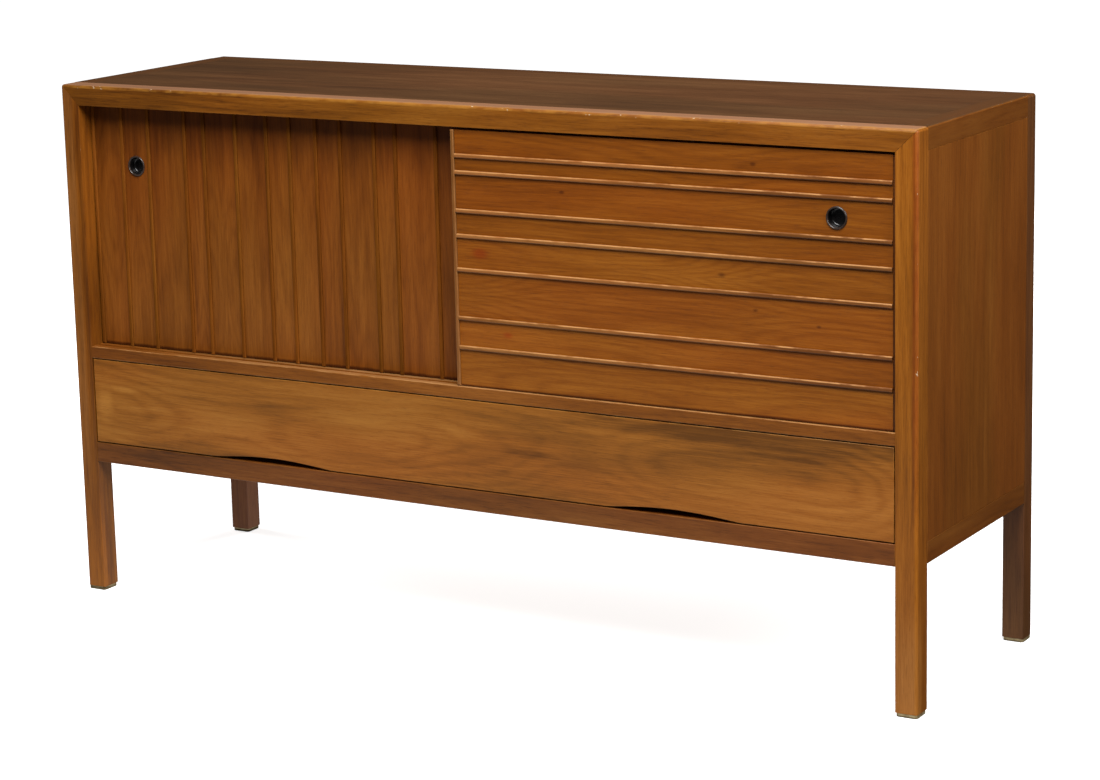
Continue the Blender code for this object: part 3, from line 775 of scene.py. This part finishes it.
def make_carcase():
    eased = (EASE, EASE_STEPS)
    finely_eased = (FINE_EASE, FINE_EASE_STEPS)
    for node, name, finish in (
        ("front_left_leg", "left_stile", frame_upright),
        ("front_right_leg", "right_stile", frame_upright),
        ("rear_left_leg", "left_rear_post", lit_left_post),
        ("rear_right_leg", "right_rear_post", side_post),
    ):
        make_leg(name, node, finish)
    make_head_rail("head_rail", "top_front_rail", head_level)
    make_head_rail("rear_head_rail", "top_rear_rail", rear_rail)
    for side, x in (("left", cad_box[0].x), ("right", cad_box[1].x)):
        low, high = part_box(side + "_top_rail")
        rail = stock(low, high)
        round_over(rail, edges_on(rail, x=x, z=high.z), TOP_ROUND, TOP_ROUND_STEPS)
        fit_piece(side + "_head_board", rail, side_rail, side + "_top_rail")
        make_board(side + "_foot_board", side + "_bottom_rail", side_rail, eased, x=x)
        make_board(side + "_board", side + "_side_panel", side_upright, finely_eased, x=x)
    make_board("low_rail", "bottom_front_rail", low_level, eased, y=cad_box[0].y)
    make_board("rear_low_rail", "bottom_rear_rail", rear_rail, eased, y=cad_box[1].y)
    ledge = cad_copy("door_sill")
    low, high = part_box("door_sill")
    front_edges = edges_on(ledge, y=low.y, z=high.z) + edges_on(ledge, y=low.y, z=low.z)
    round_over(ledge, front_edges, *eased)
    fit_piece("door_ledge", ledge, ledge_level, "door_sill")
    for end in ("front", "rear"):
        for side in ("left", "right"):
            node = f"{end}_{side}_foot_plate"
            plate = cad_copy(node)
            low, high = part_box(node)
            rims = edges_on(plate, z=low.z) + edges_on(plate, z=high.z)
            round_over(plate, rims, *finely_eased)
            fit_piece(f"{end}_{side}_shoe", plate, brass, node)
    paint(top_veneer, "top_panel")
    paint(inner_level, "cupboard_floor", "upper_door_guide", "left_shelf", "right_shelf")
    paint(inner_upright, "center_partition")
    paint(hardboard, "back_panel", "dust_panel")
    paint(oak_side, "left_drawer_runner", "right_drawer_runner")


# ---- doors ----


def part_boards(panel, axis, cuts, shades):
    """Splits a door's face at each cut, and numbers and shades the boards between the cuts."""
    board_layer = panel.faces.layers.float.new("board")
    shade_layer = panel.faces.layers.float.new("shade")
    normal = Vector((1, 0, 0)) if axis == 0 else Vector((0, 0, 1))
    for cut in cuts:
        whole = panel.verts[:] + panel.edges[:] + panel.faces[:]
        bmesh.ops.bisect_plane(panel, geom=whole, plane_co=normal * cut, plane_no=normal)
    for face in panel.faces:
        number = sum(face.calc_center_median()[axis] > cut for cut in cuts)
        face[board_layer] = number + 1.0
        face[shade_layer] = shades[number % len(shades)]


def shade_bead_sides(bead):
    """Marks the sides of a bead for painted shade, darker where the bead meets the boards."""
    soil = bead.faces.layers.float.new("soil")
    for face in bead.faces:
        face[soil] = float(abs(face.normal.y) < 0.5)


def highlight_upper_side(bead):
    """Leaves the pale edge mark only where a level bead faces up: a painted highlight of the light
    from above.
    """
    bead.normal_update()
    worn = bead.faces.layers.float["worn"]
    for face in bead.faces:
        if face.normal.z < 0.1:
            face[worn] = 0.0


def make_door(door, finish, beads_finish, axis, shades):
    """A door of boards side by side along the axis, with a bead over each joint."""
    count = sum(node.startswith(door + "_rib_") for node in NODES)
    cuts = []
    for number in range(1, count + 1):
        node = f"{door}_rib_{number}"
        low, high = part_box(node)
        cuts.append((low[axis] + high[axis]) / 2)
        bead = stock(low, high)
        bead.normal_update()
        shade_bead_sides(bead)
        width = high[axis] - low[axis]
        long_edges = [e for e in edges_on(bead, y=low.y) if e.calc_length() > width + WELD]
        round_over(bead, long_edges, BEAD_ROUND, BEAD_STEPS)
        if axis == 2:
            highlight_upper_side(bead)
        fit_piece(f"{door}_bead_{number}", bead, beads_finish, node)
    panel = cad_copy(door + "_panel")
    part_boards(panel, axis, cuts, shades)
    fit_piece(door + "_boards", panel, finish, door + "_panel")


def make_band(name, node, finish):
    """The strip that covers a door's end."""
    low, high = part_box(node)
    band = stock(low, high)
    radius = min(BEAD_ROUND, (high.x - low.x) / 3)
    round_over(band, edges_on(band, y=low.y), radius, BEAD_STEPS)
    fit_piece(name, band, finish, node)


def make_cup(name, node):
    """A finger cup, spun round its own middle."""
    low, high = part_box(node)
    radius = (high.x - low.x) / 2
    middle = Vector(((low.x + high.x) / 2, 0, (low.z + high.z) / 2))
    face = low.y + CUP_LIP
    floor = face + CUP_DEPTH
    mouth = radius - CUP_RIM
    section = [(0.0, floor), (mouth * 0.55, floor)]
    for step in range(CUP_CORNER_STEPS + 1):
        angle = math.pi / 2 * step / CUP_CORNER_STEPS
        across = mouth - CUP_CORNER + CUP_CORNER * math.sin(angle)
        section.append((across, floor - CUP_CORNER + CUP_CORNER * math.cos(angle)))
    section.append((mouth, face + CUP_SET_BACK * 4))
    for step in range(1, CUP_RIM_STEPS + 1):
        angle = math.pi * step / CUP_RIM_STEPS
        across = mouth + CUP_RIM / 2 * (1 - math.cos(angle))
        section.append((across, face - CUP_LIP * math.sin(angle)))
    under = face - CUP_SET_BACK
    stem = mouth + CUP_WALL
    section += [(radius - CUP_SET_BACK * 2, under), (stem, under), (stem, high.y), (0.0, high.y)]
    cup = bmesh.new()
    verts = [cup.verts.new((middle.x + r, y, middle.z)) for r, y in section]
    edges = [cup.edges.new(pair) for pair in zip(verts, verts[1:])]
    bmesh.ops.spin(
        cup,
        geom=verts + edges,
        cent=middle,
        axis=(0, 1, 0),
        angle=math.tau,
        steps=CUP_TURN_STEPS,
        use_merge=True,
    )
    bmesh.ops.remove_doubles(cup, verts=cup.verts, dist=WELD)
    bmesh.ops.recalc_face_normals(cup, faces=cup.faces)
    worn = cup.faces.layers.float.new("worn")
    for part in cup.faces:
        part.smooth = True
        part[worn] = float(part.calc_center_median().y < face)
    fit_piece(name, cup, black, node)


# How much lighter each board is: the front door's from the bottom up, the rear door's from
# left to right.
FRONT_BOARD_TONES = (0.08, 0.04, 0.05, 0.06, -0.01, -0.03, -0.05, -0.02)
# The last rear board's low tone is painted shade from the front door's edge beside it.
REAR_BOARD_TONES = (0.0, 0.0, -0.02, 0.01, 0.04, -0.01, 0.08, 0.06, -0.06, 0.01, 0.04, 0.05, -0.14)


def make_doors():
    make_door("front_door", level_boards, level_beads, 2, FRONT_BOARD_TONES)
    make_door("rear_door", upright_boards, upright_beads, 0, REAR_BOARD_TONES)
    make_band("front_door_meeting_strip", "front_door_meeting_band", meeting_bead)
    make_band("front_door_closing_strip", "front_door_closing_band", shaded_shut_bead)
    make_band("rear_door_closing_strip", "rear_door_closing_band", upright_beads)
    make_cup("front_door_cup", "front_door_pull")
    make_cup("rear_door_cup", "rear_door_pull")


# ---- drawer ----


def make_drawer():
    face = cad_copy("drawer_front")
    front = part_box("drawer_front")[0].y
    round_over(face, edges_on(face, y=front), EASE, EASE_STEPS)
    fit_piece("drawer_face", face, drawer_face, "drawer_front")
    paint(oak_side, "left_drawer_side", "right_drawer_side")
    paint(oak_across, "drawer_back", "drawer_base")


make_carcase()
make_doors()
make_drawer()


# ---- stage, lights and camera ----


def set_stage():
    """A wide pale floor, whiter away from the piece."""
    floor = bpy.data.objects.new("floor", bpy.data.meshes.new("floor"))
    ground = bmesh.new()
    bmesh.ops.create_grid(ground, x_segments=1, y_segments=1, size=FLOOR_SIZE)
    bmesh.ops.translate(ground, vec=(0, 0, -FLOOR_DROP), verts=ground.verts)
    ground.to_mesh(floor.data)
    ground.free()
    bpy.context.scene.collection.objects.link(floor)
    paper = Finish("pale_paper", Roughness=0.9, Specular_IOR_Level=0.0, Emission_Strength=1.0)
    where = paper.point()
    x, y, _ = paper.split(where)
    far = paper.smooth(paper.spread(x, y, 1.0, 1.0), 0.8, 3.2)
    mottle = paper.noise(paper.scaled(where, (1.2, 1.2, 1.2)), 2.0, 0.5)
    paper.surface(
        Base_Color=paper.mixed(mottle, (0.88, 0.88, 0.88, 1), (0.92, 0.92, 0.92, 1)),
        Emission_Color=paper.mixed(far, (0.70, 0.70, 0.70, 1), (1, 1, 1, 1)),
    )
    floor.data.materials.append(paper.material)
    floor.visible_glossy = False
    floor.visible_diffuse = False


def add_softbox(name, location, target, width, height, power, glossy=True):
    """A soft area light; power is in watts, and glossy says if the lacquer mirrors it."""
    light = bpy.data.lights.new(name, "AREA")
    light.shape = "RECTANGLE"
    light.size = width
    light.size_y = height
    light.energy = power
    softbox = bpy.data.objects.new(name, light)
    softbox.location = location
    softbox.rotation_euler = (Vector(target) - Vector(location)).to_track_quat("-Z", "Y").to_euler()
    softbox.visible_camera = False
    softbox.visible_glossy = glossy
    bpy.context.scene.collection.objects.link(softbox)


def set_lights():
    add_softbox("key_softbox", (0.9, -1.95, 3.6), (0, 0, 0.45), 2.4, 2.2, 226)
    add_softbox("side_softbox", (3.2, -0.7, 2.2), (0.6, 0, 0.4), 1.6, 1.6, 80)
    add_softbox("rear_softbox", (0.3, 3.6, 1.5), (0, 0, 0.45), 2.0, 1.2, 80, glossy=False)
    add_softbox("left_softbox", (-3.4, 0.4, 1.5), (-0.6, 0, 0.45), 1.4, 1.2, 50, glossy=False)
    add_softbox("floor_bounce", (-0.3, -0.3, 0.002), (-0.3, -0.3, 1.0), 2.0, 1.9, 8)
    world = bpy.data.worlds.new("studio")
    world.use_nodes = True
    tree = world.node_tree
    background = tree.nodes["Background"]
    ray = tree.nodes.new("ShaderNodeLightPath")
    seen = tree.nodes.new("ShaderNodeMix")
    seen.data_type = "RGBA"
    seen.inputs[6].default_value = (0.04, 0.04, 0.04, 1)
    seen.inputs[7].default_value = (1, 1, 1, 1)
    tree.links.new(ray.outputs["Is Camera Ray"], seen.inputs[0])
    tree.links.new(seen.outputs[2], background.inputs["Color"])
    bpy.context.scene.world = world
    bpy.context.scene.view_settings.view_transform = "Standard"


def set_camera():
    lens = bpy.data.cameras.new("camera")
    lens.sensor_width = 36.0
    lens.lens = 97.01
    lens.shift_x = -0.0288
    lens.shift_y = -0.0497
    camera = bpy.data.objects.new("camera", lens)
    camera.location = (2.2123, -3.6511, 1.2988)
    camera.rotation_euler = [math.radians(a) for a in (78.375, 1.209, 30.040)]
    bpy.context.scene.collection.objects.link(camera)
    bpy.context.scene.camera = camera


set_stage()
set_lights()
set_camera()
